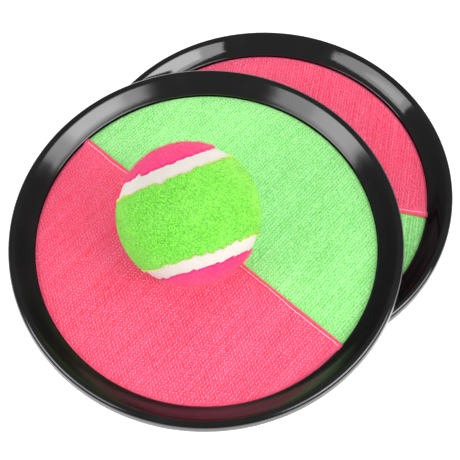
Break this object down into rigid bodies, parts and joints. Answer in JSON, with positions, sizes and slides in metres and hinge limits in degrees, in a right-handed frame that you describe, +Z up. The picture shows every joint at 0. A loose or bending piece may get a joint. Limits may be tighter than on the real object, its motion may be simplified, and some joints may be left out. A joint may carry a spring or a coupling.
{
  "type": "hook and loop catch set",
  "caption": "Toss and catch game: round hand paddles faced with pink and green hook cloth in a black ring, and a felt ball that clings to them.",
  "frame": {"origin": "on the ground, midway between the centres of the two paddles, which is the middle of the set's outline", "axes": "+Z up, out of the catching faces; +Y from the front paddle towards the rear one's far side; +X to the right of the picture"},
  "size_m": [0.2214, 0.2294, 0.0893],
  "materials": {
    "ring_plastic": "glossy black moulding with fine handling scratches",
    "shell_plastic": "black moulding, a little duller than the ring",
    "backing_board": "plain grey board, hidden",
    "pink_hook_cloth": "bright pink hook tape in close staggered rows",
    "green_hook_cloth": "bright green hook tape in close staggered rows",
    "white_thread": "white sewing thread",
    "strap_webbing": "black woven webbing",
    "strap_tab": "black hook patch",
    "ball_rubber": "matte moulded rubber, hidden",
    "green_felt": "bright green napped felt",
    "pink_felt": "bright pink napped felt",
    "white_strip": "smooth off-white tape"
  },
  "bodies": {
    "root": {"front_paddle_face_ring": "ring_plastic", "front_paddle_back_shell": "shell_plastic", "front_paddle_backing_board": "backing_board", "front_paddle_pink_hook_cloth": "pink_hook_cloth", "front_paddle_green_hook_cloth": "green_hook_cloth", "front_paddle_seam_thread": "white_thread", "front_paddle_hand_strap": "strap_webbing", "front_paddle_strap_tab": "strap_tab", "rear_paddle_face_ring": "ring_plastic", "rear_paddle_back_shell": "shell_plastic", "rear_paddle_backing_board": "backing_board", "rear_paddle_pink_hook_cloth": "pink_hook_cloth", "rear_paddle_green_hook_cloth": "green_hook_cloth", "rear_paddle_seam_thread": "white_thread", "rear_paddle_hand_strap": "strap_webbing", "rear_paddle_strap_tab": "strap_tab", "ball_core": "ball_rubber", "ball_green_band": "green_felt", "ball_upper_strip": "white_strip", "ball_lower_strip": "white_strip", "ball_upper_cap": "pink_felt", "ball_lower_cap": "pink_felt"}
  },
  "joints": []
}
